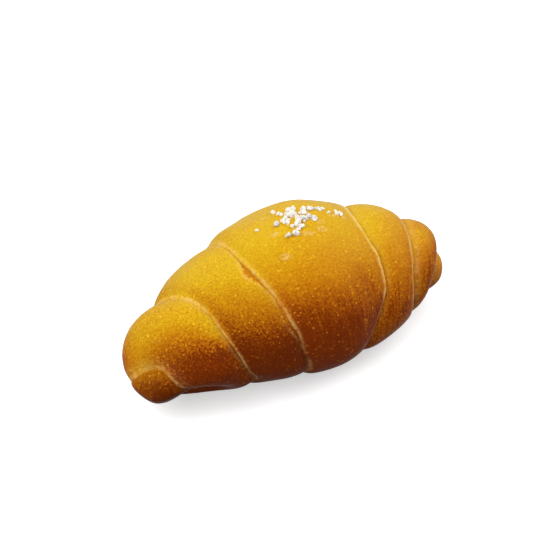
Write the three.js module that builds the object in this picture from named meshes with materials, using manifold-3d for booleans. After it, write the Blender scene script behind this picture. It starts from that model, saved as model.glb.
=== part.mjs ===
// A salt bread roll, in millimetres, +Z up. A long tapering strip of dough is wound up from its wide end, so the
// roll is a thick spindle whose laps step down to the strip's first turn, which peeps out as a knob at both ends.
// It lies on its flat base, its ends bent a little toward the front (-Y), with coarse salt on the crest.

import * as THREE from 'three';
import { mergeVertices } from 'three/addons/utils/BufferGeometryUtils.js';
import Module from 'manifold-3d';

const TAU = 2 * Math.PI;

// The axis that the dough is wound on. It bends toward the front and droops to the tips of both ends.
const AXIS_HEIGHT = 20.9;
const HALF_LENGTH = 60; // where the bend and the droop below are stated
const LEFT = { tip: -63.6, bend: 12.6, droop: 8.9 };
const RIGHT = { tip: 61.5, bend: 13.4, droop: 8.6 };
const BEND_POWER = 2.5;
const DROOP_POWER = 2;
const SECTION_LEAN = 0.98; // how far the sections turn down with the axis

// The section across the axis, as shares of the winding radius, and the powers of its rounded outline.
const SIDE_SHARE = 1.222;
const TOP_SHARE = 0.99;
const BASE_SHARE = 0.816;
const TOP_ROUNDNESS = 1.93;
const BASE_ROUNDNESS = 2.1;

// The strip's edges from the left end to the right. x says where an edge runs along the axis at the base, the
// low back, the high back, the crest, the high front and the low front. lap is how thick the dough ends there.
const EDGES = [
  { radius: 8.4, lap: 0.8, x: [-56.2, -58.5, -61.0, -56.0, -57.0, -46.5] },
  { radius: 19.2, lap: 1.3, x: [-39.0, -42.0, -39.0, -35.4, -36.8, -33.0] },
  { radius: 23.3, lap: 1.6, x: [-17.0, -22.7, -15.5, -15.7, -13.8, -9.8] },
  { radius: 22.9, lap: 1.0, x: [29.0, 36.0, 31.8, 28.3, 30.6, 17.8] },
  { radius: 18.2, lap: 1.4, x: [48.0, 49.6, 46.8, 45.7, 45.3, 49.2] },
  { radius: 9.0, lap: 0.7, x: [54.6, 59.0, 56.5, 56.3, 53.6, 50.0] },
];
const HEART_RADIUS = 33.9; // what the radii under the edges rise to in the middle
const LAST_LAP = 2; // the ring between edges 2 and 3 lies on all the others

// The rings of dough between the edges.
const PUFFS = [0.21, 0.09, 0.127, 0.123, 0.31]; // how high each ring has risen, as a share of its width
const TUCKED_LIP = 0.5; // the small shoulder of a ring where it goes under the next
const LIP_RUN = 1.1; // how far from its edge a lap is at full thickness
const LIP_FADE = 7.0;
const UNEVENNESS = 0.3;

// Coarse salt, dropped in pinches on the last lap. across is the share of the lap's width from its left edge,
// around is in degrees from the crest toward the front.
const PINCHES = [
  { across: 0.535, around: -15, spreadAcross: 0.04, spreadAround: 4, grains: 12 },
  { across: 0.43, around: -8, spreadAcross: 0.025, spreadAround: 3.5, grains: 6 },
  { across: 0.365, around: -10, spreadAcross: 0.015, spreadAround: 1, grains: 2 },
  { across: 0.445, around: -2, spreadAcross: 0.018, spreadAround: 0.8, grains: 2 },
  { across: 0.45, around: -17, spreadAcross: 0.012, spreadAround: 2.5, grains: 2 },
  { across: 0.6, around: -12, spreadAcross: 0.015, spreadAround: 2, grains: 3 },
  { across: 0.66, around: -13, spreadAcross: 0.02, spreadAround: 1.5, grains: 3 },
  { across: 0.73, around: -12, spreadAcross: 0.025, spreadAround: 1.5, grains: 4 },
  { across: 0.635, around: -2, spreadAcross: 0.01, spreadAround: 3.5, grains: 3 },
  { across: 0.53, around: -5, spreadAcross: 0.02, spreadAround: 2, grains: 5 },
  { across: 0.49, around: 1, spreadAcross: 0.015, spreadAround: 2.5, grains: 5 },
  { across: 0.585, around: -5, spreadAcross: 0.02, spreadAround: 1.5, grains: 4 },
  { across: 0.365, around: 4, spreadAcross: 0.02, spreadAround: 1, grains: 4 },
  { across: 0.415, around: 6, spreadAcross: 0.015, spreadAround: 1.5, grains: 3 },
  { across: 0.845, around: -8, spreadAcross: 0.02, spreadAround: 2.5, grains: 4 },
  { across: 0.77, around: -7, spreadAcross: 0.003, spreadAround: 0.3, grains: 1 },
  { across: 0.23, around: -14, spreadAcross: 0.003, spreadAround: 0.3, grains: 1 },
  { across: 0.43, around: -25, spreadAcross: 0.003, spreadAround: 0.3, grains: 1 },
];
const GRAIN_RADIUS = { least: 0.55, most: 1.1 };
const GRAIN_SUNK = 0.45; // share of its radius that a grain is sunk into the crust
const SEED = 7471;

// How finely the solid is divided.
const ROWS = 60;
const RING_STEPS = 12;
const KNOB_STEPS = 5;

const CRUST = { color: 0xc98622, roughness: 0.5, metalness: 0 };

const wasm = await Module();
wasm.setup();

// A smooth closed curve through evenly spaced values.
function aroundTheRoll(values, angle) {
  const place = THREE.MathUtils.euclideanModulo(angle / TAU, 1) * values.length;
  const first = Math.floor(place) % values.length;
  const share = place - Math.floor(place);
  const [a, b, c, d] = [-1, 0, 1, 2].map((step) => values[(first + step + values.length) % values.length]);
  const bend = 2 * a - 5 * b + 4 * c - d;
  const twist = 3 * (b - c) + d - a;
  return b + 0.5 * share * (c - a + share * (bend + share * twist));
}

// The radius of the winding under an edge at x.
function windingRadius(x) {
  const crest = 3;
  const knots = EDGES.map((edge) => [edge.x[crest], edge.radius]);
  knots.splice(LAST_LAP + 1, 0, [0, HEART_RADIUS]);
  const next = knots.findIndex(([at]) => at > x);
  const right = knots[THREE.MathUtils.clamp(next, 1, knots.length - 1)];
  const left = knots[THREE.MathUtils.clamp(next, 1, knots.length - 1) - 1];
  return THREE.MathUtils.mapLinear(x, left[0], right[0], left[1], right[1]);
}

// Where each edge lies in the half-section at this angle: x along the axis, y the radius.
function edgePoints(angle) {
  return EDGES.map((edge, index) => {
    const x = aroundTheRoll(edge.x, angle);
    const isKnob = index === 0 || index === EDGES.length - 1;
    return new THREE.Vector2(x, isKnob ? edge.radius : windingRadius(x));
  });
}

// A quarter circle's rise over a run of 1.
function roundRise(share) {
  const left = 1 - THREE.MathUtils.clamp(share, 0, 1);
  return Math.sqrt(1 - left * left);
}

function lipHeight(thickness, distance) {
  return thickness * roundRise(distance / LIP_RUN) * Math.exp(-distance / LIP_FADE);
}

// A point of the ring from one edge to the next: an arch of risen dough with a rounded lip at both edges.
function ringPoint(ring, share, from, to) {
  const along = to.clone().sub(from);
  const width = along.length();
  const out = new THREE.Vector2(-along.y, along.x).normalize();
  const leftLap = ring <= LAST_LAP ? EDGES[ring].lap : TUCKED_LIP;
  const rightLap = ring >= LAST_LAP ? EDGES[ring + 1].lap : TUCKED_LIP;
  const arch = PUFFS[ring] * width * 4 * share * (1 - share);
  const lips = lipHeight(leftLap, share * width) + lipHeight(rightLap, (1 - share) * width);
  return from.clone().addScaledVector(along, share).addScaledVector(out, arch + lips);
}

function knobPoints(tip, edge) {
  return Array.from({ length: KNOB_STEPS }, (_, step) => {
    const turn = ((step + 1) / (KNOB_STEPS + 1)) * (Math.PI / 2);
    return new THREE.Vector2(tip + (edge.x - tip) * (1 - Math.cos(turn)), edge.y * Math.sin(turn));
  });
}

// The half-section at this angle, from the left knob's pole to the right one's, without the poles.
function halfSection(angle) {
  const edges = edgePoints(angle);
  const points = knobPoints(LEFT.tip, edges[0]);
  for (let ring = 0; ring < PUFFS.length; ring += 1) {
    for (let step = 0; step < RING_STEPS; step += 1) {
      const share = (1 - Math.cos((Math.PI * step) / RING_STEPS)) / 2;
      points.push(ringPoint(ring, share, edges[ring], edges[ring + 1]));
    }
  }
  points.push(edges[EDGES.length - 1]);
  return points.concat(knobPoints(RIGHT.tip, edges[EDGES.length - 1]).reverse());
}

function unevenness(x, angle) {
  const long = Math.sin(0.1 * x + 2 * angle + 1.1);
  const short = Math.sin(0.21 * x - 3 * angle + 0.4);
  return UNEVENNESS * (long + 0.7 * short);
}

// Lays a point of the half-section on the bent axis. The angle runs from the base over the back and the crest.
function placed(x, radius, angle) {
  const side = x < 0 ? LEFT : RIGHT;
  const reach = Math.abs(x) / HALF_LENGTH;
  const outward = Math.sign(x) / HALF_LENGTH;
  const turn = Math.atan(-side.bend * BEND_POWER * reach ** (BEND_POWER - 1) * outward);
  const dip = Math.atan(-side.droop * DROOP_POWER * reach ** (DROOP_POWER - 1) * outward) * SECTION_LEAN;
  const down = Math.cos(angle);
  const back = Math.sin(angle);
  const roundness = down < 0 ? TOP_ROUNDNESS : BASE_ROUNDNESS;
  const height = down < 0 ? TOP_SHARE : BASE_SHARE;
  const sideways = SIDE_SHARE * radius * Math.sign(back) * Math.abs(back) ** (2 / roundness);
  const upward = -height * radius * Math.sign(down) * Math.abs(down) ** (2 / roundness);
  return new THREE.Vector3(
    x - Math.sin(turn) * sideways - Math.cos(turn) * Math.sin(dip) * upward,
    -side.bend * reach ** BEND_POWER + Math.cos(turn) * sideways - Math.sin(turn) * Math.sin(dip) * upward,
    AXIS_HEIGHT - side.droop * reach ** DROOP_POWER + Math.cos(dip) * upward,
  );
}

function surfacePoint(point, angle) {
  const calm = THREE.MathUtils.smoothstep(point.y, 0, EDGES[0].radius);
  return placed(point.x, point.y + calm * unevenness(point.x, angle), angle);
}

// The closed skin of the whole roll, rows of points round the axis between two poles.
function doughGeometry() {
  const positions = [];
  const triangles = [];
  const angles = Array.from({ length: ROWS }, (_, row) => (row / ROWS) * TAU);
  const rows = angles.map((angle) => halfSection(angle).map((point) => surfacePoint(point, angle)));
  const columns = rows[0].length;
  rows.flat().forEach((point) => positions.push(point.x, point.y, point.z));
  const leftPole = ROWS * columns;
  const rightPole = leftPole + 1;
  [LEFT, RIGHT].forEach((side) => positions.push(...placed(side.tip, 0, 0).toArray()));
  for (let row = 0; row < ROWS; row += 1) {
    const here = row * columns;
    const next = ((row + 1) % ROWS) * columns;
    triangles.push(leftPole, next, here);
    for (let column = 0; column < columns - 1; column += 1) {
      triangles.push(here + column, next + column, next + column + 1);
      triangles.push(here + column, next + column + 1, here + column + 1);
    }
    triangles.push(rightPole, here + columns - 1, next + columns - 1);
  }
  const geometry = new THREE.BufferGeometry();
  geometry.setAttribute('position', new THREE.Float32BufferAttribute(positions, 3));
  geometry.setIndex(triangles);
  return geometry;
}

function randomNumbers(seed) {
  let state = seed;
  return () => {
    state = (Math.imul(state, 1664525) + 1013904223) >>> 0;
    return state / 2 ** 32;
  };
}

// Adds up to a bell-shaped draw about 0, with most of it within -1 and 1.
function bellDraw(random) {
  return (random() + random() + random() - 1.5) * 1.3;
}

// The grains of salt, each a squashed, turned twenty-sided crystal that is partly sunk into the crust.
function saltGeometries() {
  const random = randomNumbers(SEED);
  const grains = [];
  PINCHES.forEach((pinch) => {
    for (let grain = 0; grain < pinch.grains; grain += 1) {
      const across = pinch.across + pinch.spreadAcross * bellDraw(random);
      const around = THREE.MathUtils.degToRad(pinch.around + pinch.spreadAround * bellDraw(random));
      const size = THREE.MathUtils.lerp(GRAIN_RADIUS.least, GRAIN_RADIUS.most, random() ** 2);
      const length = size * (1 + 0.7 * random());
      const turn = new THREE.Euler(random() * TAU, random() * TAU, random() * TAU);
      const edges = edgePoints(Math.PI + around);
      const middle = ringPoint(LAST_LAP, across, edges[LAST_LAP], edges[LAST_LAP + 1]);
      middle.y += size * (1 - GRAIN_SUNK);
      const centre = surfacePoint(middle, Math.PI + around);
      const crystal = new THREE.IcosahedronGeometry(1, 0);
      crystal.scale(length, size, size);
      crystal.applyMatrix4(new THREE.Matrix4().makeRotationFromEuler(turn));
      crystal.translate(centre.x, centre.y, centre.z);
      grains.push(crystal);
    }
  });
  return grains;
}

function toSolid(geometry) {
  const bare = geometry.clone();
  bare.deleteAttribute('normal');
  bare.deleteAttribute('uv');
  const merged = mergeVertices(bare, 1e-4);
  const vertProperties = new Float32Array(merged.attributes.position.array);
  const triVerts = new Uint32Array(merged.index.array);
  return new wasm.Manifold(new wasm.Mesh({ numProp: 3, vertProperties, triVerts }));
}

function toGeometry(solid) {
  const mesh = solid.getMesh();
  const geometry = new THREE.BufferGeometry();
  geometry.setAttribute('position', new THREE.Float32BufferAttribute(mesh.vertProperties, 3));
  geometry.setIndex(Array.from(mesh.triVerts));
  return geometry;
}

// Cuts off what would press into the tray, which leaves the flat base.
function flattened(solid) {
  const slab = new THREE.BoxGeometry(4 * HALF_LENGTH, 4 * HALF_LENGTH, AXIS_HEIGHT);
  slab.translate(0, 0, -AXIS_HEIGHT / 2);
  return solid.subtract(toSolid(slab));
}

function saltBreadRoll() {
  const dough = flattened(toSolid(doughGeometry()));
  const salted = saltGeometries().reduce((solid, grain) => solid.add(toSolid(grain)), dough);
  const geometry = toGeometry(salted);
  geometry.computeBoundingBox();
  const middle = geometry.boundingBox.getCenter(new THREE.Vector3());
  geometry.translate(-middle.x, -middle.y, 0);
  const roll = new THREE.Mesh(geometry, new THREE.MeshStandardMaterial(CRUST));
  roll.name = 'salt_bread_roll';
  return roll;
}

const part = new THREE.Group();
part.add(saltBreadRoll());

export default part;
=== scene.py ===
import math

import bmesh
import bpy
import numpy as np
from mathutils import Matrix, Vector


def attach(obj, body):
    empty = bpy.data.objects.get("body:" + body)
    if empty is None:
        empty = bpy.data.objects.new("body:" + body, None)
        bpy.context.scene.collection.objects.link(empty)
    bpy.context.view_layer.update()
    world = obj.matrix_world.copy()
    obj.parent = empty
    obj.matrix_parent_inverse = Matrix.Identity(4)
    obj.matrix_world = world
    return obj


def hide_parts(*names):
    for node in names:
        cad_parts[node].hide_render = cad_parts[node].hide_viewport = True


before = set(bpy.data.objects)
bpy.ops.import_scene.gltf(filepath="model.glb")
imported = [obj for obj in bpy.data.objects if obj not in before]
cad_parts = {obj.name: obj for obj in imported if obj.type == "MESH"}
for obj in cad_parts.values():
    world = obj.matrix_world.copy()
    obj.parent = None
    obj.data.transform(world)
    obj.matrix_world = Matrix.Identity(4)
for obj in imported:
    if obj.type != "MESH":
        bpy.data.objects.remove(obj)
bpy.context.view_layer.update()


# The roll. A long tapering strip of butter dough is rolled up from its wide end, proofed and baked on a tray.
# Each lap steps down at its edge to the one before, and the strip's first turn is a knob at both ends. The
# lengths in this section are in millimetres, and become metres as the mesh is made.

MM = 0.001
TAU = 2 * math.pi

# The axis that the dough is wound on, bent toward the front and drooping to its tips.
AXIS_HEIGHT = 20.9
HALF_LENGTH = 60.0
LEFT_TIP, LEFT_BEND, LEFT_DROOP = -63.6, 12.6, 8.9
RIGHT_TIP, RIGHT_BEND, RIGHT_DROOP = 61.5, 13.4, 8.6
BEND_POWER = 2.5
DROOP_POWER = 2.0
SECTION_LEAN = 0.98

# The section across the axis, as shares of the winding radius, and the powers of its rounded outline.
SIDE_SHARE = 1.222
TOP_SHARE, TOP_ROUNDNESS = 0.99, 1.93
BASE_SHARE, BASE_ROUNDNESS = 0.816, 2.1

# The strip's edges from left to right: the winding's radius there, how thick the dough ends, and x at the
# base, the low back, the high back, the crest, the high front and the low front.
EDGES = [
    (8.4, 0.8, (-56.2, -58.5, -61.0, -56.0, -57.0, -46.5)),
    (19.2, 1.3, (-39.0, -42.0, -39.0, -35.4, -36.8, -33.0)),
    (23.3, 1.6, (-17.0, -22.7, -15.5, -15.7, -13.8, -9.8)),
    (22.9, 1.0, (29.0, 36.0, 31.8, 28.3, 30.6, 17.8)),
    (18.2, 1.4, (48.0, 49.6, 46.8, 45.7, 45.3, 49.2)),
    (9.0, 0.7, (54.6, 59.0, 56.5, 56.3, 53.6, 50.0)),
]
CREST = 3

# The winding's radius in the middle of the last lap, how much each ring puffs up as a share of its width, how
# thick a covered edge is, and how far in from an edge its shoulder is full and has faded out.
HEART_RADIUS = 33.9
LAST_LAP = 2
PUFFS = (0.21, 0.09, 0.127, 0.123, 0.31)
TUCKED_LIP = 0.35
LIP_RUN, LIP_FADE = 4.0, 7.0

# Long waves of the skin: how they turn along the roll and round it, where they start, and their heights.
WAVES = [(0.1, 2, 1.1, 0.3), (0.21, -3, 0.4, 0.21)]

# Where the dough swelled or sank: x, angle, how far the lump reaches along and round, and its height.
LUMPS = [
    (-10, 142, 5, 24, 0.9),
    (4, 146, 5, 16, -0.7),
    (13, 153, 5, 16, 0.4),
    (-25, 138, 4, 20, -0.5),
    (-41, 273, 7, 22, -1.0),
    (-7, 286, 9, 18, -0.7),
]

# What the oven did to the strip's edges. Each lap ends in a thin lip that hangs a little over its crease. In
# places the crease is a crack, and the lap below has drawn back and left an open split:
# (edge, angle, spread of angle, depth or width).
LIP_STEP, LIP_STEP_RUN = 0.35, 0.5
SOFT_STEP = 0.2
OVERHANG = 0.12
CREASE_RUN = 0.3
SHALLOW_CREASE = 0.04
# How deep a crack is where its lip stands sharp, and where its floor is wholly painted in shade.
SHARP_CRACK, FULLY_SHADED_CRACK = 0.2, 0.25
CRACKS = [
    (2, 190, 24, 0.15),
    (1, 241, 17, 0.05),
    (3, 232, 26, 0.05),
    (2, 90, 40, 0.25),
    (3, 110, 30, 0.20),
    (4, 130, 30, 0.15),
]
RAGGED = (0.35, 0.12)
RAGGED_BITES = (36, 130)
RAGGED_REACH = 1.3
SPLITS = [
    (2, 192, 11, 2.5),
    (2, 237, 12, 2.0),
    (1, 238, 16, 0.65),
]
# A split's depth and the run of its side, and how its torn crumb is coloured, how much painted light lies on
# it against the lap's shade, and how far in that is whole.
SPLIT_DEPTH, SPLIT_SIDE = 0.22, 0.25
TORN_BROWNING, TORN_PAINTED_LIGHT, TORN_SIDE = 0.50, 0.1, 0.3
# Where an edge is drawn aside: edge, angle, spread of angle, and how far along the roll.
PULLS = [(2, 266, 12, -1.3), (1, 268, 14, -1.2)]

# How each knob and ring browned, from the left knob to the right one. The crust is golden up to one angle off
# the middle of the golden band, and brown past another; that brown is partly the crust's own and partly
# painted
# shade on the front and lower sides: (first angle at its left and right, second angle at both, how brown it
# is before and after).
GOLDEN_MIDDLE = 150
BROWNING_AND_SHADE_BANDS = [
    ((20, 20), (82, 82), (0.82, 1.02)),
    ((-61, 62), (82, 86), (0.19, 1.05)),
    ((-8, 34), (114, 110), (0.04, 1.04)),
    ((22, 12), (105, 127), (0.03, 1.01)),
    ((31, -61), (93, 150), (0.04, 0.87)),
    ((44, -26), (74, 73), (0.45, 0.80)),
    ((10, 10), (80, 80), (0.48, 0.68)),
]
# How light each is where it is brown all through, next to the crust's own brown.
DEPTHS = (0.74, 1.04, 0.92, 1.13, 1.12, 1.0, 1.25)
# How much less an edge pales where it is brown all through, and how suddenly.
BROWN_STAYS, BROWN_STAYS_POWER = 0.55, 4
# Round each edge: how much paler the dough is, how far that reaches over the lap and over the dough that the
# lap had covered, how much browner the lap's shoulder is, how pale the covered dough's own lip is, how much
# painted shade the crease lays on it, how pale, how far in and how wide the lap's lip is, and how much
# painted highlight lightens the lips.
EDGE_PALENESS = (0.36, 0.38, 0.18, 0.36, 0.32, 0.25)
LAP_REACH = (2.6, 1.4, 1.4, 1.4, 1.4, 1.4)
COVERED_REACH = 3.2
SHOULDER_BROWNING = (0.0, 0.12, 0.06, 0.05, 0.06, 0.08)
SHOULDER_AT, SHOULDER_REACH = 3.0, 2.0
COVERED_LIPS = (0.0, 0.35, 0.4, 0.1, 0.3, 0.2)
CREASE_SHADES = (0.15, 0.10, 0.05, 0.12, 0.08, 0.10)
CREASE_SHADE_REACH = 1.1
LIPS = (0.9, 0.9, 1.0, 1.6, 1.4, 0.6)
LIP_PAINTED_HIGHLIGHT = 0.18
LIP_AT = (0.42, 0.42, 0.4, 0.9, 0.8, 0.42)
LIP_WIDTHS = (0.42, 0.42, 0.6, 0.95, 0.85, 0.42)
# Where an edge browned like the rest of its lap, or stayed paler: (edge, angle, spread of angle, share of its
# paleness lost, which is less than 0 where it stayed paler).
BROWNED_EDGES = [
    (1, 172, 14, -0.8),
    (1, 285, 20, 0.4),
    (2, 188, 10, -0.5),
    (2, 268, 20, 0.75),
    (3, 285, 28, 0.8),
    (4, 270, 25, 0.5),
]
# The crust is browner near the tray, below one height, and painted darker where it turns under, which is
# painted
# shade and partly its browner underside: how much, and how far down its faces point where that begins and
# where it is whole.
LOW_BROWNING, BROWNED_BELOW = 0.14, 12.0
UNDER_PAINTED_SHADE = 0.3
UNDER_FROM, UNDER_WHOLE = 0.42, 0.72

# A pale painted reflection lies on the first ring round the left knob, and half as much on the right knob:
# how much, and how far it reaches.
PAINTED_REFLECTION, PAINTED_REFLECTION_REACH = 0.22, 2.6

# The skin is grainier toward the left end, but not on the knob: x, and the grain's strength there.
GRAIN_AT, GRAININESS = (-58, -50, -40, -5), (0.75, 1.2, 1.2, 0.72)

# Where the skin is drawn into fine strands round the roll: x, angle, reach, spread of angle and strength.
STRANDS = [
    (18, 265, 7, 28, 0.7),
    (38, 258, 13, 36, 0.65),
    (22, 195, 6, 28, 0.5),
    (51, 215, 5, 45, 0.5),
]

# Where salt has half melted into the crust of the last lap and left a pale ring: share of the lap's width,
# degrees from the crest toward the front, and the ring's radius.
MELTED_SALT = [
    (0.63, 7.5, 1.1),
    (0.24, 17, 1.0),
    (0.485, 7.2, 0.7),
    (0.53, 8.5, 0.6),
    (0.30, -2, 0.8),
    (0.876, -3.3, 0.8),
    (0.80, -4.3, 0.7),
    (0.34, -24, 0.6),
    (0.66, 1, 0.6),
]
MELTED_LINE = 0.5
CREST_RADIUS = 1.1 * HEART_RADIUS

# How finely the crust's mesh is divided.
ROWS = 400
FINE_STEP = 0.14
COARSE_STEP = 0.82
LIP_ZONE = 3.2
STEP_SAMPLES = 600
KNOB_STEPS = 26


def around_the_roll(values, angle):
    """A smooth closed curve through evenly spaced values."""
    place = np.mod(angle / TAU, 1) * len(values)
    first = np.floor(place).astype(int) % len(values)
    share = place - np.floor(place)
    a, b, c, d = (np.take(values, (first + step) % len(values)) for step in (-1, 0, 1, 2))
    bend = 2 * a - 5 * b + 4 * c - d
    twist = 3 * (b - c) + d - a
    return b + 0.5 * share * (c - a + share * (bend + share * twist))


def bell(distance, reach):
    return np.exp(-((distance / reach) ** 2))


def near_angle(angle, middle, spread):
    """A bell about one angle of the roll, in degrees."""
    return bell((np.degrees(angle) - middle + 180) % 360 - 180, spread)


def winding_radius(x):
    knots = [(edge[2][CREST], edge[0]) for edge in EDGES]
    knots.insert(LAST_LAP + 1, (0, HEART_RADIUS))
    return np.interp(x, [at for at, _ in knots], [radius for _, radius in knots])


def edge_at(index, angle):
    """Where an edge runs in the half-section at this angle: x along the axis, and the radius."""
    radius, _, stations = EDGES[index]
    x = around_the_roll(np.array(stations), angle)
    x = x + marks_at(PULLS, index, angle)
    is_knob = index in (0, len(EDGES) - 1)
    return x, np.full_like(x, radius) if is_knob else winding_radius(x)


def raggedness(index, angle):
    """How far a strip's edge wanders from its smooth line."""
    wander = np.random.default_rng(index)
    curves = [around_the_roll(wander.uniform(-1, 1, bites), angle) for bites in RAGGED_BITES]
    return sum(size * curve for size, curve in zip(RAGGED, curves))


def marks_at(marks, index, angle):
    """The sum of one edge's marks round the roll."""
    total = np.zeros_like(angle)
    for edge, middle, spread, size in marks:
        if edge == index:
            total = total + size * near_angle(angle, middle, spread)
    return total


def round_rise(share):
    return np.sqrt(1 - (1 - np.clip(share, 0, 1)) ** 2)


def soft_rise(share):
    return 1 - (1 - np.clip(share, 0, 1)) ** 2


def lip(thickness, distance, split, crack):
    """How high a lip stands, and how far it hangs out over its crease, at this distance from the edge."""
    over = np.maximum(distance - split, 0)
    rest = LIP_STEP * (SOFT_STEP + (1 - SOFT_STEP) * np.clip(crack / SHARP_CRACK, 0, 1))
    step = rest * round_rise(over / LIP_STEP_RUN)
    shoulder = (thickness - rest) * soft_rise(over / LIP_RUN)
    open_floor = SPLIT_DEPTH * np.clip((split - distance) / SPLIT_SIDE, 0, 1)
    crease = (SHALLOW_CREASE + crack) * np.exp(-distance / CREASE_RUN)
    run = over / LIP_STEP_RUN
    hang = OVERHANG * rest / LIP_STEP * round_rise(run) * np.clip(1 - run, 0, 1)
    return (step + shoulder) * np.exp(-over / LIP_FADE) - open_floor - crease, hang


def browned(part, share, angle):
    """How brown a knob or ring is, at this share of its width and this angle: 0 golden, 1 brown; partly
    painted shade.
    """
    (start_left, start_right), (end_left, end_right), (least, most) = BROWNING_AND_SHADE_BANDS[part]
    start = start_left + (start_right - start_left) * share
    end = end_left + (end_right - end_left) * share
    off = np.abs((np.degrees(angle)[:, None] - GOLDEN_MIDDLE + 180) % 360 - 180)
    rise = np.clip((off - start) / (end - start), 0, 1)
    return least + (most - least) * rise * rise * (3 - 2 * rise)


def paler(browning_and_shade, share):
    """Browning and its painted shade made paler by a share, and by less where it is brown all through."""
    return browning_and_shade * (1 - share * (1 - BROWN_STAYS * np.clip(browning_and_shade, 0, 1) ** BROWN_STAYS_POWER))


def shares_across(width):
    """Shares of a ring's width that lie close together at its edges and farther apart in the middle."""
    distance = np.linspace(0, width, STEP_SAMPLES)
    nearest = np.minimum(distance, width - distance) / LIP_ZONE
    step = FINE_STEP + (COARSE_STEP - FINE_STEP) * np.clip(nearest, 0, 1)
    count = np.concatenate([[0], np.cumsum(np.diff(distance) / step[1:])])
    steps = int(round(count[-1]))
    return np.interp(np.arange(steps) * count[-1] / steps, count, distance) / width


def side_of(ring, side, share, width, angle):
    """One edge as its ring's points see it: whether they lie over it, its distance, its split, its crack."""
    is_lap = ring <= LAST_LAP if side == 0 else ring >= LAST_LAP
    distance = (share if side == 0 else 1 - share) * width
    split = np.zeros_like(width) if is_lap else marks_at(SPLITS, ring + side, angle)[:, None]
    return is_lap, distance, split, marks_at(CRACKS, ring + side, angle)[:, None]


def ring_colours(ring, angle, share, sides):
    """How each point of a ring is coloured: its lips, its cracks' painted shade, its browning, and its
    painted light and shade.
    """
    browning_and_shade = browned(ring + 1, share, angle)
    light = np.ones_like(browning_and_shade)
    lips = np.zeros_like(browning_and_shade)
    crack_shade = np.zeros_like(browning_and_shade)
    for side, (is_lap, distance, split, crack) in enumerate(sides):
        edge = ring + side
        kept = 1 - marks_at(BROWNED_EDGES, edge, angle)[:, None]
        pale = EDGE_PALENESS[edge] * kept * bell(distance, LAP_REACH[edge] if is_lap else COVERED_REACH)
        browning_and_shade = paler(browning_and_shade, pale)
        if is_lap:
            browning_and_shade = browning_and_shade + SHOULDER_BROWNING[edge] * bell(distance - SHOULDER_AT, SHOULDER_REACH)
        else:
            # Painted shade on the covered dough beside the crease.
            light = light * (1 - CREASE_SHADES[edge] * bell(distance, CREASE_SHADE_REACH))
        over = distance - split
        paleness = LIPS[edge] * (1 if is_lap else COVERED_LIPS[edge]) * kept
        lip_here = bell(over - LIP_AT[edge], LIP_WIDTHS[edge]) * paleness
        # Painted highlight along each lip.
        light = light * (1 + LIP_PAINTED_HIGHLIGHT * lip_here)
        lips = np.maximum(lips, lip_here)
        torn = np.clip(-over / TORN_SIDE, 0, 1)
        browning_and_shade = browning_and_shade + torn * np.maximum(TORN_BROWNING - browning_and_shade, 0)
        # Painted light on the torn crumb, which lies in the lap's shade.
        light = light * (1 + TORN_PAINTED_LIGHT * torn)
        # Painted shade on a crack's floor.
        crack_shade = np.maximum(crack_shade, np.clip(crack / FULLY_SHADED_CRACK, 0, 1) * bell(distance, CREASE_RUN))
    light = light * DEPTHS[ring + 1] ** np.clip(browning_and_shade, 0, 1)
    return lips, crack_shade, browning_and_shade, light


def melted_salt(across, width, angle):
    """How pale each point of the last lap is from the salt that melted into it."""
    marks = np.zeros_like(across * width)
    from_crest = np.degrees(angle)[:, None] - 180
    for middle_across, from_middle, radius in MELTED_SALT:
        along = (across - middle_across) * width
        around = np.radians(from_crest - from_middle) * CREST_RADIUS
        away = np.hypot(along, around)
        marks = np.maximum(marks, bell(away - radius, MELTED_LINE))
    return marks


def ring_section(ring, angle):
    """The half-section of one ring at these angles: x, radius, and how each point is coloured."""
    left_x, left_radius = edge_at(ring, angle)
    right_x, right_radius = edge_at(ring + 1, angle)
    run, climb = (right_x - left_x)[:, None], (right_radius - left_radius)[:, None]
    width = np.hypot(run, climb)
    share = shares_across(width.mean())[None, :]
    sides = [side_of(ring, side, share, width, angle) for side in (0, 1)]
    along = share * width
    out = PUFFS[ring] * width * 4 * share * (1 - share)
    for side, (is_lap, distance, split, crack) in enumerate(sides):
        rise, hang = lip(EDGES[ring + side][1] if is_lap else TUCKED_LIP, distance, split, crack)
        outward = 2 * side - 1
        out = out + rise
        along = along + outward * hang * is_lap
        along = along + raggedness(ring + side, angle)[:, None] * np.exp(-distance / RAGGED_REACH)
    x = left_x[:, None] + (run * along - climb * out) / width
    radius = left_radius[:, None] + (climb * along + run * out) / width
    melted_salt_and_reflection = np.zeros_like(x)
    if ring == LAST_LAP:
        melted_salt_and_reflection = melted_salt(share, width, angle)
    # The first ring has a pale painted reflection beside the left knob.
    if ring == 0:
        melted_salt_and_reflection = PAINTED_REFLECTION * bell(share * width, PAINTED_REFLECTION_REACH)
    return x, radius, *ring_colours(ring, angle, share, sides), melted_salt_and_reflection


def knob_section(tip, index, angle):
    """The half-section of a knob, from its pole to the strip's edge, without the pole."""
    edge_x, edge_radius = (values[:, None] for values in edge_at(index, angle))
    turn = (np.arange(1, KNOB_STEPS + 1) / (KNOB_STEPS + 1) * math.pi / 2)[None, :]
    x = tip + (edge_x - tip) * (1 - np.cos(turn))
    radius = edge_radius * np.sin(turn)
    knob = 0 if index == 0 else len(BROWNING_AND_SHADE_BANDS) - 1
    # The right knob has half as much painted reflection.
    reflection_here = np.full_like(x, 0 if index == 0 else PAINTED_REFLECTION / 2)
    pale = EDGE_PALENESS[index] * bell(np.hypot(x - edge_x, radius - edge_radius), COVERED_REACH)
    browning_and_shade = paler(browned(knob, 0.5, angle), pale)
    light = DEPTHS[knob] ** browning_and_shade
    blank = np.zeros_like(x)
    return x, radius, blank, blank, browning_and_shade, light, reflection_here


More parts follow.
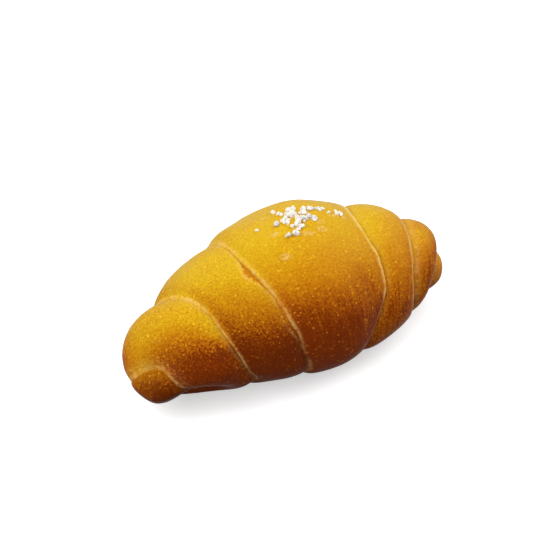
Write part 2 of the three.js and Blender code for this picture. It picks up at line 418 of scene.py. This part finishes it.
def patches(marks, x, angle):
    """The sum of soft patches on the skin: x, angle, reach, spread of angle and strength."""
    total = 0
    for at, middle, reach, spread, strength in marks:
        total = total + strength * bell(x - at, reach) * near_angle(angle, middle, spread)
    return total


def unevenness(x, angle):
    waves = sum(height * np.sin(along * x + turns * angle + start) for along, turns, start, height in WAVES)
    return waves + patches(LUMPS, x, angle)


def placed(x, radius, angle):
    """Lays points of the half-section on the bent axis. The angle runs from the base over the back."""
    left = x < 0
    bend = np.where(left, LEFT_BEND, RIGHT_BEND)
    droop = np.where(left, LEFT_DROOP, RIGHT_DROOP)
    reach = np.abs(x) / HALF_LENGTH
    outward = np.sign(x) / HALF_LENGTH
    turn = np.arctan(-bend * BEND_POWER * reach ** (BEND_POWER - 1) * outward)
    dip = np.arctan(-droop * DROOP_POWER * reach ** (DROOP_POWER - 1) * outward) * SECTION_LEAN
    down, back = np.cos(angle), np.sin(angle)
    roundness = np.where(down < 0, TOP_ROUNDNESS, BASE_ROUNDNESS)
    height = np.where(down < 0, TOP_SHARE, BASE_SHARE)
    sideways = SIDE_SHARE * radius * np.sign(back) * np.abs(back) ** (2 / roundness)
    upward = -height * radius * np.sign(down) * np.abs(down) ** (2 / roundness)
    return np.stack([
        x - np.sin(turn) * sideways - np.cos(turn) * np.sin(dip) * upward,
        -bend * reach**BEND_POWER + np.cos(turn) * sideways - np.sin(turn) * np.sin(dip) * upward,
        AXIS_HEIGHT - droop * reach**DROOP_POWER + np.cos(dip) * upward,
    ], axis=-1)


def calm_near_tips(radius):
    share = np.clip(radius / EDGES[0][0], 0, 1)
    return share * share * (3 - 2 * share)


def crust_grid():
    """The skin as a grid of rows round the axis: each point's angle, x and radius, and how it is coloured."""
    angle = np.arange(ROWS) / ROWS * TAU
    last = len(EDGES) - 1
    right_knob = knob_section(RIGHT_TIP, last, angle)
    last_edge = [values[:, None] for values in edge_at(last, angle)]
    sections = [knob_section(LEFT_TIP, 0, angle)]
    sections += [ring_section(ring, angle) for ring in range(len(PUFFS))]
    sections.append((*last_edge, *(values[:, -1:] for values in right_knob[2:])))
    sections.append(tuple(values[:, ::-1] for values in right_knob))
    x, radius, *colours = (np.concatenate(parts, axis=1) for parts in zip(*sections))
    angle = np.repeat(angle[:, None], x.shape[1], axis=1)
    radius = radius + calm_near_tips(radius) * unevenness(x, angle)
    return angle, x, radius, colours


def grid_normals(points):
    """Outward unit normals of a grid whose rows close round the axis."""
    round_axis = np.roll(points, -1, axis=0) - np.roll(points, 1, axis=0)
    along_axis = np.gradient(points, axis=1)
    normals = np.cross(round_axis, along_axis)
    return normals / np.maximum(np.linalg.norm(normals, axis=-1, keepdims=True), 1e-9)


def laid_on_tray(points, softness=0.8):
    """Flattens what would press into the tray, with a soft edge round the flat."""
    z = points[..., 2]
    points[..., 2] = (z + np.sqrt(z * z + softness * softness)) / 2
    return points


def mesh_from_grid(name, points, poles):
    """A closed mesh from a grid of points round the axis and the two poles."""
    rows, columns = points.shape[:2]
    vertices = np.concatenate([points.reshape(-1, 3), poles]) * MM
    row = np.arange(rows)[:, None] * columns
    following = (np.arange(1, rows + 1) % rows)[:, None] * columns
    column = np.arange(columns - 1)[None, :]
    corners = [row + column, following + column, following + column + 1, row + column + 1]
    quads = np.stack([np.broadcast_to(c, (rows, columns - 1)) for c in corners], axis=-1).reshape(-1, 4)
    left_pole, right_pole = rows * columns, rows * columns + 1
    last = columns - 1
    left_fan = np.stack([np.full(rows, left_pole), following[:, 0], row[:, 0]], axis=-1)
    right_fan = np.stack([np.full(rows, right_pole), row[:, 0] + last, following[:, 0] + last], axis=-1)
    faces = quads.tolist() + left_fan.tolist() + right_fan.tolist()
    mesh = bpy.data.meshes.new(name)
    mesh.from_pydata(vertices.tolist(), [], faces)
    mesh.polygons.foreach_set("use_smooth", np.ones(len(faces), dtype=bool))
    return mesh


def keep_on_points(mesh, name, values):
    """Stores one number for each point of the grid, and 0 for the poles, for the material to read."""
    attribute = mesh.attributes.new(name, "FLOAT", "POINT")
    attribute.data.foreach_set("value", np.append(values.ravel(), [0, 0]).astype(np.float32))


class Relief:
    """Smooth random relief of one grain size in space, between about -1 and 1."""

    CELLS = 32

    def __init__(self, size, seed):
        self.size = size
        self.table = np.random.default_rng(seed).uniform(-1, 1, (self.CELLS,) * 3)

    def at(self, points):
        place = points / self.size
        cell = np.floor(place).astype(int)
        share = place - cell
        share = share * share * (3 - 2 * share)
        total = 0
        for corner in np.ndindex(2, 2, 2):
            weight = np.prod(np.where(corner, share, 1 - share), axis=-1)
            x, y, z = np.moveaxis((cell + corner) % self.CELLS, -1, 0)
            total = total + weight * self.table[x, y, z]
        return total


grid_angle, grid_x, grid_radius, (lips, crack_shades, browning_and_shade, light, melted_salt_and_reflection) = crust_grid()
points = laid_on_tray(placed(grid_x, grid_radius, grid_angle))
poles = np.array([placed(np.array(tip), np.array(0.0), np.array(0.0)) for tip in (LEFT_TIP, RIGHT_TIP)])
middle = (points.min(axis=(0, 1)) + points.max(axis=(0, 1))) / 2
middle[2] = 0
points = points - middle
poles = poles - middle

# The risen dough is never quite smooth: it has low hollows, and finer dimples where the skin has shrunk.
HOLLOW_SIZE, HOLLOW_DEPTH, HOLLOW_SEED = 11.0, 0.22, 3
DIMPLE_SIZE, DIMPLE_DEPTH, DIMPLE_SEED = 2.6, 0.05, 4
FLAT_BELOW = 3.0
normals = grid_normals(points)
sunk = Relief(HOLLOW_SIZE, HOLLOW_SEED).at(points) * HOLLOW_DEPTH
sunk = sunk + Relief(DIMPLE_SIZE, DIMPLE_SEED).at(points) * DIMPLE_DEPTH
above_tray = np.clip(points[..., 2] / FLAT_BELOW, 0, 1)
points = points - normals * (sunk * above_tray * calm_near_tips(grid_radius))[..., None]

crust_mesh = mesh_from_grid("crust", points, poles)
height = points[..., 2]
browned_low = np.clip((BROWNED_BELOW - height) / BROWNED_BELOW, 0, 1)
under_shade_mask = np.interp(-normals[..., 2], (UNDER_FROM, UNDER_WHOLE), (0, 1))
for_the_material = {
    "lip": lips,
    "crease": crack_shades,
    "browning_and_shade": browning_and_shade + LOW_BROWNING * browned_low,
    # Painted shade where the crust turns under.
    "light": light * (1 - UNDER_PAINTED_SHADE * under_shade_mask),
    "melted_salt_and_reflection": melted_salt_and_reflection,
    "graininess": np.interp(grid_x, GRAIN_AT, GRAININESS),
    "strands": patches(STRANDS, grid_x, grid_angle),
}
for name, values in for_the_material.items():
    keep_on_points(crust_mesh, name, values)
wound = np.stack([grid_x, grid_radius * np.sin(grid_angle), grid_radius * np.cos(grid_angle)], axis=-1)
attribute = crust_mesh.attributes.new("wound", "FLOAT_VECTOR", "POINT")
attribute.data.foreach_set("vector", np.append(wound.ravel() * MM, np.zeros(6)).astype(np.float32))

crust = bpy.data.objects.new("crust", crust_mesh)
bpy.context.scene.collection.objects.link(crust)

# The crust's colours, from the golden crest to the browned sides, whose darkness is partly painted shade.
CRUST_COLOURS = [
    (0.0, (0.725, 0.440, 0.010)),
    (0.25, (0.66, 0.325, 0.006)),
    (0.45, (0.60, 0.240, 0.004)),
    (0.60, (0.53, 0.172, 0.003)),
    (0.75, (0.42, 0.105, 0.003)),
    (0.85, (0.30, 0.058, 0.002)),
    (0.93, (0.24, 0.038, 0.002)),
    (1.0, (0.20, 0.026, 0.002)),
]
# The lips' pale colour, how much of it shows and at most, the size and sides of the breaks in it, and how
# much is left there. A crack's floor has a torn crumb's colour.
PALE_LIP = (0.95, 0.65, 0.20)
LIP_PALE, LIP_PALEST = 0.56, 0.9
# The lips' pale colour, how much of it shows and at most, the size and sides of the breaks in it, and how
# much is left there. A crack's floor gets painted shade in a dark brown, and how much of it shows.
LIP_BREAKS, LIP_BREAK_SIDE, LIP_LEAST = 0.0025, (0.38, 0.62), 0.25
CRACK_SHADE_COLOUR, CRACK_SHADE_SHARE = (0.30, 0.075, 0.008), 0.7

# The skin's fine texture: broad blotches, and a grain of pores and thin spots.
BLOTCH_SIZE, BLOTCH = 0.009, 0.2
GRAIN_SIZE, GRAIN_TONE, GRAIN_SHADE = 0.0008, 0.6, 0.6

# Blisters, each a small bubble of its own size with a painted glint on it: how far they lie apart and how
# uneven their places are, how big they are as shares of that, how soft their sides are, and how much more
# golden, lighter and paler their painted glints make them.
BLISTER_SPACING, BLISTER_WARP = 0.0014, (0.0008, 0.0005)
BLISTER_LEAST, BLISTER_MORE, BLISTER_SIDE = 0.14, 0.20, (-0.06, 0.10)
BLISTER_GLINT_TONE, BLISTER_GLINT_LIGHT, BLISTER_GLINT_PALE = 0.28, 0.22, 0.04
GLINT_COLOUR = (1.0, 0.8, 0.2)
PORE_SIZE, BLISTER_RELIEF, PORE_BUMP, PORE_DEPTH = 0.0006, 0.8, 0.5, 0.0001

# Rare flecks that stayed pale, where the skin is grainy and hasn't browned.
FLECK_SPACING, FLECK_WARP = 0.0055, (0.001, 0.0006)
FLECK_SIZE, FLECK_PALE = 0.09, 0.45
FLECKED_GRAIN, FLECKED_BROWNING = (0.75, 1.1), (0.9, 0.3)

# Streaks round the roll, where it browned or was drawn into strands.
STREAK_WIDTH, STREAK_WARP, STREAK_STRETCH = 0.0011, (0.004, 0.0006), (1, 0.1, 0.1)
STREAKED_BROWNING, STREAK, STRAND_STREAK = (0.35, 0.9), 0.3, 0.5

# Melted salt and the painted reflection by the knobs: how pale, and which of the grain's hollows stay bare.
MELTED_SALT_AND_REFLECTION, MELTED_PALE, MELTED_GRAIN = 0.45, (0.95, 0.76, 0.36), (-0.2, 0.15)


def paint(name):
    """A new material, its nodes and its shader."""
    material = bpy.data.materials.new(name)
    material.use_nodes = True
    tree = material.node_tree
    return material, tree.nodes, tree.links, tree.nodes["Principled BSDF"]


def node(nodes, kind, **settings):
    made = nodes.new(kind)
    for setting, value in settings.items():
        setattr(made, setting, value)
    return made


def calculate(tree, operation, *values):
    """A math node of sockets or numbers."""
    made = node(tree.nodes, "ShaderNodeMath", operation=operation)
    for socket, value in zip(made.inputs, values):
        if isinstance(value, bpy.types.NodeSocket):
            tree.links.new(value, socket)
        else:
            socket.default_value = value
    return made.outputs[0]


def blended(tree, share, first, second):
    """One colour mixed into another by a share."""
    made = node(tree.nodes, "ShaderNodeMix", data_type="RGBA")
    for socket, value in ((made.inputs[0], share), (made.inputs[6], first), (made.inputs[7], second)):
        if isinstance(value, bpy.types.NodeSocket):
            tree.links.new(value, socket)
        elif isinstance(value, tuple):
            socket.default_value = (*value, 1)
        else:
            socket.default_value = value
    return made.outputs[2]


def stepped(tree, value, low, high):
    """0 below low, 1 above high and smooth between, or the other way round."""
    made = node(tree.nodes, "ShaderNodeMapRange", interpolation_type="SMOOTHSTEP")
    tree.links.new(value, made.inputs["Value"])
    made.inputs["From Min"].default_value = min(low, high)
    made.inputs["From Max"].default_value = max(low, high)
    made.inputs["To Min"].default_value = 0 if low < high else 1
    made.inputs["To Max"].default_value = 1 if low < high else 0
    return made.outputs["Result"]


def noise(tree, place, size, detail=2.0, roughness=0.5):
    made = node(tree.nodes, "ShaderNodeTexNoise")
    tree.links.new(place, made.inputs["Vector"])
    made.inputs["Scale"].default_value = 1 / size
    made.inputs["Detail"].default_value = detail
    made.inputs["Roughness"].default_value = roughness
    return made.outputs["Fac"]


def centred(tree, value, size):
    """A noise that is around a half made to be around 0, at this size."""
    return calculate(tree, "MULTIPLY_ADD", value, size, -size / 2)


def warp(tree, place, size, shift):
    """Places pushed about by a noise of this size, by up to about this shift."""
    made = node(tree.nodes, "ShaderNodeTexNoise")
    tree.links.new(place, made.inputs["Vector"])
    made.inputs["Scale"].default_value = 1 / size
    pushed = node(tree.nodes, "ShaderNodeVectorMath", operation="MULTIPLY_ADD")
    tree.links.new(made.outputs["Color"], pushed.inputs[0])
    pushed.inputs[1].default_value = (shift * 2,) * 3
    tree.links.new(place, pushed.inputs[2])
    return pushed.outputs["Vector"]


def scaled(tree, colour, factor):
    """A colour made lighter or darker by a factor."""
    made = node(tree.nodes, "ShaderNodeVectorMath", operation="SCALE")
    tree.links.new(colour, made.inputs[0])
    tree.links.new(factor, made.inputs["Scale"])
    return made.outputs["Vector"]


def stretched(tree, place, scale):
    made = node(tree.nodes, "ShaderNodeMapping")
    tree.links.new(place, made.inputs["Vector"])
    made.inputs["Scale"].default_value = scale
    return made.outputs["Vector"]


def attribute_value(tree, name, socket="Fac"):
    return node(tree.nodes, "ShaderNodeAttribute", attribute_name=name).outputs[socket]


def bumped(tree, height, strength, depth):
    """Normals of a fine relief of this depth."""
    made = node(tree.nodes, "ShaderNodeBump")
    made.inputs["Strength"].default_value = strength
    made.inputs["Distance"].default_value = depth
    tree.links.new(height, made.inputs["Height"])
    return made.outputs["Normal"]


def blisters(tree, place):
    """How much each place is a blister. Each has its own size and strength."""
    bubbles = node(tree.nodes, "ShaderNodeTexVoronoi")
    tree.links.new(warp(tree, place, *BLISTER_WARP), bubbles.inputs["Vector"])
    bubbles.inputs["Scale"].default_value = 1 / BLISTER_SPACING
    chance = node(tree.nodes, "ShaderNodeSeparateColor")
    tree.links.new(bubbles.outputs["Color"], chance.inputs[0])
    reach = calculate(tree, "MULTIPLY_ADD", chance.outputs[0], BLISTER_MORE, BLISTER_LEAST)
    inside = calculate(tree, "SUBTRACT", reach, bubbles.outputs["Distance"])
    return calculate(tree, "MULTIPLY", stepped(tree, inside, *BLISTER_SIDE), chance.outputs[1])


def streaks(tree, browning_and_shade):
    """How much browner or more golden each place is in streaks round the roll."""
    round_the_roll = warp(tree, attribute_value(tree, "wound", "Vector"), *STREAK_WARP)
    pattern = noise(tree, stretched(tree, round_the_roll, STREAK_STRETCH), STREAK_WIDTH, detail=3.0)
    strength = calculate(tree, "MULTIPLY", stepped(tree, browning_and_shade, *STREAKED_BROWNING), STREAK)
    strength = calculate(tree, "MULTIPLY_ADD", attribute_value(tree, "strands"), STRAND_STREAK, strength)
    return calculate(tree, "MULTIPLY", centred(tree, pattern, 1.0), strength)


def browned_colour(tree, tone):
    """The crust's colour for how brown it is, with painted shade in the darker browns."""
    ramp = node(tree.nodes, "ShaderNodeValToRGB")
    tree.links.new(tone, ramp.inputs["Fac"])
    for index, (at, colour) in enumerate(CRUST_COLOURS):
        stop = ramp.color_ramp.elements[index] if index < 2 else ramp.color_ramp.elements.new(at)
        stop.position = at
        stop.color = (*colour, 1)
    return ramp.outputs["Color"]


def skin_colour(tree, place, browning_and_shade, grain, blister):
    """The crust's colour with its painted light and shade, before its lips, cracks, melted salt and painted
    reflection.
    """
    blotch = centred(tree, noise(tree, place, BLOTCH_SIZE), BLOTCH)
    tone = calculate(tree, "ADD", calculate(tree, "ADD", browning_and_shade, blotch), streaks(tree, browning_and_shade))
    tone = calculate(tree, "MULTIPLY_ADD", grain, -GRAIN_TONE, tone)
    # Painted glints on the blisters: more golden, lighter and paler.
    tone = calculate(tree, "MULTIPLY_ADD", blister, -BLISTER_GLINT_TONE, tone)
    shade = calculate(tree, "MULTIPLY_ADD", grain, GRAIN_SHADE, 1.0)
    shade = calculate(tree, "MULTIPLY_ADD", blister, BLISTER_GLINT_LIGHT, shade)
    # The light attribute darkens and lightens the colour with painted shade and painted highlights.
    shade = calculate(tree, "MULTIPLY", shade, attribute_value(tree, "light"))
    colour = scaled(tree, browned_colour(tree, tone), shade)
    return blended(tree, calculate(tree, "MULTIPLY", blister, BLISTER_GLINT_PALE), colour, GLINT_COLOUR)


def flecks(tree, place, browning_and_shade, graininess):
    """How pale each place is from rare flecks."""
    rare = node(tree.nodes, "ShaderNodeTexVoronoi")
    tree.links.new(warp(tree, place, *FLECK_WARP), rare.inputs["Vector"])
    rare.inputs["Scale"].default_value = 1 / FLECK_SPACING
    fleck = stepped(tree, rare.outputs["Distance"], FLECK_SIZE, FLECK_SIZE / 2)
    fleck = calculate(tree, "MULTIPLY", fleck, stepped(tree, graininess, *FLECKED_GRAIN))
    fleck = calculate(tree, "MULTIPLY", fleck, stepped(tree, browning_and_shade, *FLECKED_BROWNING))
    return calculate(tree, "MULTIPLY", fleck, FLECK_PALE)


def pale_lips(tree, place):
    """How pale each place is from a lap's lip, which is broken here and there."""
    whole = stepped(tree, noise(tree, place, LIP_BREAKS), *LIP_BREAK_SIDE)
    whole = calculate(tree, "MULTIPLY_ADD", whole, 1 - LIP_LEAST, LIP_LEAST)
    pale = calculate(tree, "MULTIPLY", attribute_value(tree, "lip"), whole)
    return calculate(tree, "MINIMUM", calculate(tree, "MULTIPLY", pale, LIP_PALE), LIP_PALEST)


def crust_finish():
    material, nodes, links, shader = paint("crust")
    tree = material.node_tree
    place = node(nodes, "ShaderNodeTexCoord").outputs["Object"]
    browning_and_shade = attribute_value(tree, "browning_and_shade")
    graininess = attribute_value(tree, "graininess")
    grain = centred(tree, noise(tree, place, GRAIN_SIZE, detail=1.0, roughness=0.9), 1.0)
    grain = calculate(tree, "MULTIPLY", grain, graininess)
    blister = blisters(tree, place)

    colour = skin_colour(tree, place, browning_and_shade, grain, blister)
    colour = blended(tree, flecks(tree, place, browning_and_shade, graininess), colour, MELTED_PALE)
    colour = blended(tree, pale_lips(tree, place), colour, PALE_LIP)
    # Painted shade on each crack's floor, in a dark brown.
    torn = calculate(tree, "MULTIPLY", attribute_value(tree, "crease"), CRACK_SHADE_SHARE)
    colour = blended(tree, torn, colour, CRACK_SHADE_COLOUR)
    # Melted salt, and the pale painted reflection by the knobs.
    marks = attribute_value(tree, "melted_salt_and_reflection")
    marks = calculate(tree, "MULTIPLY", marks, stepped(tree, grain, *MELTED_GRAIN))
    colour = blended(tree, calculate(tree, "MULTIPLY", marks, MELTED_SALT_AND_REFLECTION), colour, MELTED_PALE)
    links.new(colour, shader.inputs["Base Color"])

    pores = noise(tree, place, PORE_SIZE, detail=3.0, roughness=0.6)
    relief = calculate(tree, "MULTIPLY_ADD", blister, BLISTER_RELIEF, pores)
    links.new(bumped(tree, relief, PORE_BUMP, PORE_DEPTH), shader.inputs["Normal"])
    shader.inputs["Roughness"].default_value = 0.5
    shader.inputs["Specular IOR Level"].default_value = 0.15
    shader.inputs["Specular Tint"].default_value = (1.0, 0.70, 0.06, 1)
    shader.inputs["Sheen Weight"].default_value = 0.42
    shader.inputs["Sheen Roughness"].default_value = 0.25
    shader.inputs["Sheen Tint"].default_value = (1.0, 0.9, 0.85, 1)
    return material


crust_mesh.materials.append(crust_finish())
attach(crust, "root")
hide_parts("salt_bread_roll")


# The salt. Coarse white grains, dropped in pinches on the crest before baking, have bedded into the crust.
# Each is a squashed crystal with broken faces, partly sunk in, at the place of the solid's own grain.

# Each pinch: share of the last lap's width, degrees from the crest to the front, their spreads, and grains.
PINCHES = [
    (0.535, -15, 0.04, 4, 12),
    (0.43, -8, 0.025, 3.5, 6),
    (0.365, -10, 0.015, 1, 2),
    (0.445, -2, 0.018, 0.8, 2),
    (0.45, -17, 0.012, 2.5, 2),
    (0.6, -12, 0.015, 2, 3),
    (0.66, -13, 0.02, 1.5, 3),
    (0.73, -12, 0.025, 1.5, 4),
    (0.635, -2, 0.01, 3.5, 3),
    (0.53, -5, 0.02, 2, 5),
    (0.49, 1, 0.015, 2.5, 5),
    (0.585, -5, 0.02, 1.5, 4),
    (0.365, 4, 0.02, 1, 4),
    (0.415, 6, 0.015, 1.5, 3),
    (0.845, -8, 0.02, 2.5, 4),
    (0.77, -7, 0.003, 0.3, 1),
    (0.23, -14, 0.003, 0.3, 1),
    (0.43, -25, 0.003, 0.3, 1),
]
GRAIN_LEAST, GRAIN_MOST = 0.66, 1.35
GRAIN_SUNK = 0.55
GRAIN_LENGTHENED = 0.7
GRAIN_FACES = 10
CUT_LEAST, CUT_MOST = 0.55, 0.90
SALT_SEED = 7471

# The crystals are cloudy white, glassier and warmer in places, with finely pitted faces.
CLOUD_SIZE, CLOUD_SIDE = 0.0012, (0.3, 0.7)
GLASSY_SALT, CLOUDY_SALT = (0.93, 0.87, 0.77), (0.99, 0.97, 0.92)
GLASSY_ROUGHNESS, CLOUDY_ROUGHNESS = 0.25, 0.5
PIT_SIZE, PIT_BUMP, PIT_DEPTH = 0.0005, 0.4, 0.0001


def random_numbers(seed, factor=1664525, step=1013904223, period=2**32):
    """The same even draws from 0 to 1 that placed the solid's grains."""
    state = seed
    while True:
        state = (state * factor + step) % period
        yield state / period


def bell_draw(draw, width=1.3):
    """A draw around 0 that is seldom far from it."""
    return (next(draw) + next(draw) + next(draw) - 1.5) * width


def on_last_lap(across, angle, lift):
    """A point over the last lap, at this share of its width."""
    angle = np.array([angle])
    left_x, left_radius = edge_at(LAST_LAP, angle)
    right_x, right_radius = edge_at(LAST_LAP + 1, angle)
    run, climb = right_x - left_x, right_radius - left_radius
    width = np.hypot(run, climb)
    laps = (EDGES[LAST_LAP][1], across * width), (EDGES[LAST_LAP + 1][1], (1 - across) * width)
    rise = sum(lip(thickness, distance, 0, 0)[0] for thickness, distance in laps)
    out = PUFFS[LAST_LAP] * width * 4 * across * (1 - across) + rise
    x = left_x + (run * across * width - climb * out) / width
    radius = left_radius + (climb * across * width + run * out) / width + lift
    return placed(x, radius + unevenness(x, angle), angle)[0] - middle


def turned(x, y, z):
    """The matrix of a turn about x, then y, then z of the turned axes."""
    about_x = np.array([[1, 0, 0], [0, math.cos(x), -math.sin(x)], [0, math.sin(x), math.cos(x)]])
    about_y = np.array([[math.cos(y), 0, math.sin(y)], [0, 1, 0], [-math.sin(y), 0, math.cos(y)]])
    about_z = np.array([[math.cos(z), -math.sin(z), 0], [math.sin(z), math.cos(z), 0], [0, 0, 1]])
    return about_x @ about_y @ about_z


def ball():
    """The points and triangles of a finely divided ball."""
    shape = bmesh.new()
    bmesh.ops.create_icosphere(shape, subdivisions=3, radius=1)
    vertices = np.array([vertex.co for vertex in shape.verts])
    triangles = np.array([[vertex.index for vertex in face.verts] for face in shape.faces])
    shape.free()
    return vertices, triangles


def crystal(vertices, shapes):
    """A ball cut back by broken faces at random."""
    faces = shapes.normal(size=(GRAIN_FACES, 3))
    faces = faces / np.linalg.norm(faces, axis=1, keepdims=True)
    depths = shapes.uniform(CUT_LEAST, CUT_MOST, GRAIN_FACES)
    reach = vertices @ faces.T / depths
    return vertices / np.maximum(reach.max(axis=1), 1)[:, None]


def salt_grains():
    draw = random_numbers(SALT_SEED)
    shapes = np.random.default_rng(SALT_SEED)
    vertices, triangles = ball()
    all_vertices, all_triangles = [], []
    for across, around, spread_across, spread_around, grains in PINCHES:
        for _ in range(grains):
            at = across + spread_across * bell_draw(draw)
            angle = math.pi + math.radians(around + spread_around * bell_draw(draw))
            size = GRAIN_LEAST + (GRAIN_MOST - GRAIN_LEAST) * next(draw) ** 2
            length = size * (1 + GRAIN_LENGTHENED * next(draw))
            turn = turned(next(draw) * TAU, next(draw) * TAU, next(draw) * TAU)
            centre = on_last_lap(at, angle, size * (1 - GRAIN_SUNK))
            grain = (crystal(vertices, shapes) * (length, size, size)) @ turn.T + centre
            all_triangles.append(triangles + len(vertices) * len(all_vertices))
            all_vertices.append(grain)
    return np.concatenate(all_vertices), np.concatenate(all_triangles)


def salt_finish():
    material, nodes, links, shader = paint("salt")
    tree = material.node_tree
    place = node(nodes, "ShaderNodeTexCoord").outputs["Object"]
    cloud = stepped(tree, noise(tree, place, CLOUD_SIZE, detail=3.0), *CLOUD_SIDE)
    rougher = CLOUDY_ROUGHNESS - GLASSY_ROUGHNESS
    links.new(blended(tree, cloud, GLASSY_SALT, CLOUDY_SALT), shader.inputs["Base Color"])
    links.new(calculate(tree, "MULTIPLY_ADD", cloud, rougher, GLASSY_ROUGHNESS), shader.inputs["Roughness"])
    links.new(bumped(tree, noise(tree, place, PIT_SIZE), PIT_BUMP, PIT_DEPTH), shader.inputs["Normal"])
    shader.inputs["Subsurface Weight"].default_value = 0.7
    shader.inputs["Subsurface Radius"].default_value = (1.0, 1.0, 1.0)
    shader.inputs["Subsurface Scale"].default_value = 0.0006
    shader.inputs["IOR"].default_value = 1.54
    return material


salt_vertices, salt_triangles = salt_grains()
salt_mesh = bpy.data.meshes.new("salt")
salt_mesh.from_pydata((salt_vertices * MM).tolist(), [], salt_triangles.tolist())
salt_mesh.materials.append(salt_finish())
salt = bpy.data.objects.new("salt", salt_mesh)
bpy.context.scene.collection.objects.link(salt)
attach(salt, "root")


# The room. A plain pale floor in soft white light, with a wide soft box at each side and a weak one behind.
# The floor is whiter to the camera than to the light that it throws back, which leaves the roll's lower sides
# as dark as in the photograph. The camera stands at the photograph's angle.

FLOOR_SIZE = 6.0
FLOOR_WHITE = (0.93, 0.93, 0.93)
FLOOR_BOUNCE = (0.26, 0.255, 0.25)
FLOOR_GLOW = 0.50
ROOM_LIGHT = 0.42
AIM = Vector((0.0020, 0.0050, 0.0229))
CAMERA_TURN = math.radians(-31.83)
CAMERA_RISE = math.radians(42.08)
CAMERA_DISTANCE = 0.6
CAMERA_LENS = 104.556
SENSOR = 36.0

# The soft boxes: name, place, size and power. All of them face the roll.
LIT_POINT = (0, 0, 0.02)
SOFT_BOXES = [
    ("left", (-0.8, 0, 0.8), (1.0, 1.0), 7.6),
    ("right", (0.8, 0, 0.8), (1.0, 1.0), 7.5),
    ("back", (0, 1.0, 0.5), (1.2, 0.8), 2.0),
]

bpy.ops.mesh.primitive_plane_add(size=FLOOR_SIZE)
floor = bpy.context.object
floor.name = "floor"
floor_finish, floor_nodes, floor_links, floor_shader = paint("floor")
rays = node(floor_nodes, "ShaderNodeLightPath")
floor_links.new(
    blended(floor_finish.node_tree, rays.outputs["Is Camera Ray"], FLOOR_BOUNCE, FLOOR_WHITE),
    floor_shader.inputs["Base Color"],
)
floor_shader.inputs["Roughness"].default_value = 0.9
floor_shader.inputs["Emission Color"].default_value = (1, 1, 1, 1)
floor_links.new(
    calculate(floor_finish.node_tree, "MULTIPLY", rays.outputs["Is Camera Ray"], FLOOR_GLOW),
    floor_shader.inputs["Emission Strength"],
)
floor.data.materials.append(floor_finish)

world = bpy.data.worlds.new("studio")
bpy.context.scene.world = world
world.use_nodes = True
world.node_tree.nodes["Background"].inputs["Color"].default_value = (1, 1, 1, 1)
world.node_tree.nodes["Background"].inputs["Strength"].default_value = ROOM_LIGHT


def soft_box(name, place, size, power):
    light = bpy.data.lights.new(name, "AREA")
    light.shape = "RECTANGLE"
    light.size, light.size_y = size
    light.energy = power
    lamp = bpy.data.objects.new(name, light)
    bpy.context.scene.collection.objects.link(lamp)
    lamp.location = place
    lamp.rotation_euler = (Vector(LIT_POINT) - Vector(place)).to_track_quat("-Z", "Y").to_euler()


for box in SOFT_BOXES:
    soft_box(*box)

camera = bpy.data.objects.new("camera", bpy.data.cameras.new("camera"))
bpy.context.scene.collection.objects.link(camera)
bpy.context.scene.camera = camera
camera.data.sensor_width = SENSOR
camera.data.lens = CAMERA_LENS
toward_camera = Vector((
    math.sin(CAMERA_TURN) * math.cos(CAMERA_RISE),
    -math.cos(CAMERA_TURN) * math.cos(CAMERA_RISE),
    math.sin(CAMERA_RISE),
))
camera.location = AIM + toward_camera * CAMERA_DISTANCE
camera.rotation_euler = (-toward_camera).to_track_quat("-Z", "Y").to_euler()
bpy.context.scene.view_settings.view_transform = "Standard"
